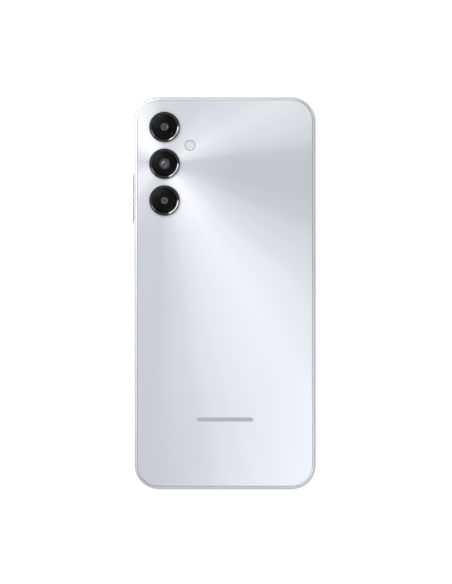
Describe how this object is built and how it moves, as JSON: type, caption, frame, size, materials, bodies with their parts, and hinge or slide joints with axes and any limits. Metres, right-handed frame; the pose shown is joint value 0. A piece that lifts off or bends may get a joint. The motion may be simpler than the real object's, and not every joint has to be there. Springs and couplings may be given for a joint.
{
  "type": "smartphone",
  "caption": "Slim slab phone lying face down: glossy pearl back, row of lenses in one corner, side keys, card tray and edge ports.",
  "frame": {"origin": "on the display glass the phone lies on, under the middle of its outline", "axes": "+X to the right seen from behind, +Y along the length towards the cameras, +Z out of the back"},
  "size_m": [0.0786, 0.168, 0.0098],
  "materials": {
    "frame": "satin silver metallic paint on polycarbonate",
    "rear_panel": "gloss pearl silver",
    "adhesive": "matt",
    "lens_ring": "black anodised",
    "lens_glass": "polished",
    "flash_window": "moulded clear",
    "display_glass": "polished",
    "display_cell": "gloss black",
    "backlight": "white film in a steel tray",
    "flex_film": "amber film",
    "chassis_metal": "blasted",
    "circuit_board": "solder mask",
    "stamped_steel": "bright",
    "connector_steel": "plated",
    "chip_resin": "matt black",
    "battery_wrap": "aluminium laminate pouch in matt black film",
    "graphite": "matt grey foil",
    "cable_jacket": "smooth",
    "camera_housing": "matt black",
    "lens_element": "coated",
    "led_phosphor": "matt yellow",
    "key_plastic": "satin silver metallic paint",
    "sensor_face": "smooth satin",
    "tray_plastic": "satin silver metallic paint",
    "seal_rubber": "matt",
    "black_plastic": "moulded",
    "diaphragm_film": "smooth film",
    "magnet": "nickel plated",
    "microphone_can": "plated",
    "mesh_fabric": "fine black mesh",
    "rotor_metal": "sintered",
    "screw_steel": "zinc plated"
  },
  "bodies": {
    "phone": {"backlight_unit": "backlight", "battery": "battery_wrap", "battery_protection_board": "circuit_board", "battery_tape": "adhesive", "board_components": "chip_resin", "chassis_plate": "chassis_metal", "coaxial_cable": "cable_jacket", "depth_camera_module": "camera_housing", "display_cover_glass": "display_glass", "display_flex": "flex_film", "display_gasket": "adhesive", "display_panel": "display_cell", "earpiece_case": "black_plastic", "fixed_camera_lenses": "lens_element", "flash_led": "led_phosphor", "flash_window": "flash_window", "front_camera_module": "camera_housing", "graphite_sheet": "graphite", "headphone_jack": "black_plastic", "interconnect_flex": "flex_film", "key_bracket": "stamped_steel", "key_switches": "stamped_steel", "lens_glasses": "lens_glass", "lens_ring_lower": "lens_ring", "lens_ring_middle": "lens_ring", "lens_ring_upper": "lens_ring", "loudspeaker_box": "black_plastic", "loudspeaker_magnet": "magnet", "main_board": "circuit_board", "main_camera_housing": "camera_housing", "microphones": "microphone_can", "processor_package": "chip_resin", "rear_cover": "rear_panel", "rear_cover_tape": "adhesive", "rf_shield_cans": "stamped_steel", "screws": "screw_steel", "side_frame": "frame", "side_key_flex": "flex_film", "sim_reader": "stamped_steel", "sound_meshes": "mesh_fabric", "sub_board": "circuit_board", "upper_bracket": "black_plastic", "usb_bracket": "stamped_steel", "usb_shell": "connector_steel", "usb_tongue": "black_plastic", "vibration_motor_case": "stamped_steel", "wide_camera_module": "camera_housing"},
    "volume_key": {"volume_key": "key_plastic"},
    "power_key": {"power_key": "key_plastic", "fingerprint_sensor": "sensor_face"},
    "card_tray": {"sim_tray": "tray_plastic", "tray_seal": "seal_rubber"},
    "eject_rod": {"eject_rod": "stamped_steel"},
    "eject_lever": {"eject_lever": "stamped_steel"},
    "focus_barrel": {"main_camera_barrel": "camera_housing", "main_camera_lens": "lens_element"},
    "speaker_diaphragm": {"loudspeaker_diaphragm": "diaphragm_film"},
    "earpiece_diaphragm": {"earpiece_diaphragm": "diaphragm_film"},
    "motor_rotor": {"vibration_motor_rotor": "rotor_metal"}
  },
  "joints": [
    {"name": "volume_rock", "type": "hinge", "parent": "phone", "child": "volume_key", "pos_m": [-0.0364, 0.0406, 0.0053], "axis": [0, 0, 1], "range_deg": [-1.5, 1.5], "stiffness_Nm_per_rad": 0.5},
    {"name": "power_press", "type": "slide", "parent": "phone", "child": "power_key", "axis": [1, 0, 0], "range_m": [0, 0.00025], "stiffness_N_per_m": 6000},
    {"name": "tray_slide", "type": "slide", "parent": "phone", "child": "card_tray", "axis": [1, 0, 0], "range_m": [0, 0.038]},
    {"name": "eject_push", "type": "slide", "parent": "phone", "child": "eject_rod", "axis": [-1, 0, 0], "range_m": [0, 0.002]},
    {"name": "eject_turn", "type": "hinge", "parent": "phone", "child": "eject_lever", "pos_m": [-0.0022, 0.058, 0.0061], "axis": [0, 0, 1], "range_deg": [0, 29.5]},
    {"name": "focus", "type": "slide", "parent": "phone", "child": "focus_barrel", "axis": [0, 0, 1], "range_m": [0, 0.00025], "stiffness_N_per_m": 400},
    {"name": "speaker_stroke", "type": "slide", "parent": "phone", "child": "speaker_diaphragm", "axis": [0, 0, 1], "range_m": [-0.0003, 0.0003], "stiffness_N_per_m": 800},
    {"name": "earpiece_stroke", "type": "slide", "parent": "phone", "child": "earpiece_diaphragm", "axis": [0, 0, 1], "range_m": [-0.00015, 0.00015], "stiffness_N_per_m": 500},
    {"name": "motor_spin", "type": "hinge", "parent": "phone", "child": "motor_rotor", "pos_m": [0.031, -0.074, 0.0045], "axis": [0, 0, 1], "continuous": true}
  ],
  "couplings": [
    {"joint": "eject_turn", "follows": "eject_push", "rad_per_m": 256.41}
  ]
}
